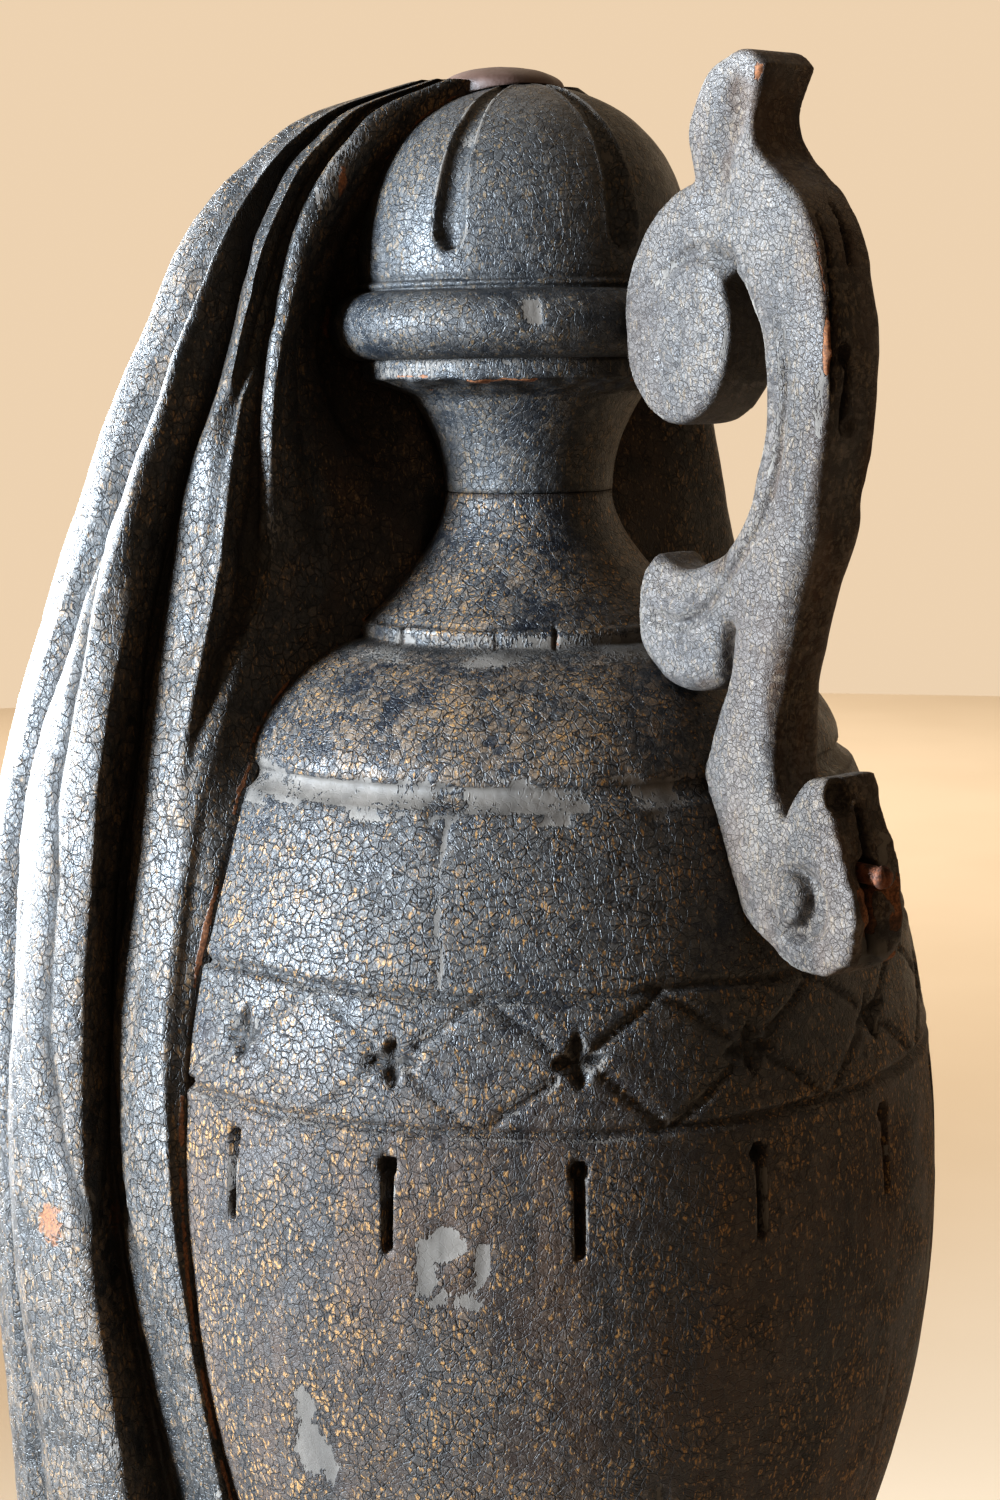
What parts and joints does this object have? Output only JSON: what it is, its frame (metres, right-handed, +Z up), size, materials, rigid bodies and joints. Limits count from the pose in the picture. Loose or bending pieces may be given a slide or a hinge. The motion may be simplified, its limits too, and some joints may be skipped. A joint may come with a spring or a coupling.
{
  "type": "mourning urn",
  "caption": "Turned and carved wooden mourning urn: hollow vessel with a fluted lid, a carved cloth over one half and a broken scroll handle.",
  "frame": {"origin": "middle of the plinth's underside", "axes": "+Z up along the urn's turning axis, +X towards the handle"},
  "size_m": [0.411, 0.3824, 0.7848],
  "materials": {
    "foot_paint": "cracked black paint on wood",
    "blackened_paint": "cracked blue-grey to black paint on wood, with bare grey patches",
    "lid_paint": "cracked brown-black paint on wood",
    "worn_brown": "smooth matte brown",
    "cloth_paint": "cracked grey to black paint on wood, with bare grey patches",
    "handle_paint": "cracked dark grey paint on wood, split and chipped",
    "rusted_iron": "rusted"
  },
  "bodies": {
    "root": {"plinth": "foot_paint", "foot": "foot_paint", "urn_body": "blackened_paint", "lid": "lid_paint", "lid_knob": "worn_brown", "drapery": "cloth_paint", "handle": "handle_paint", "handle_screw": "rusted_iron"}
  },
  "joints": []
}
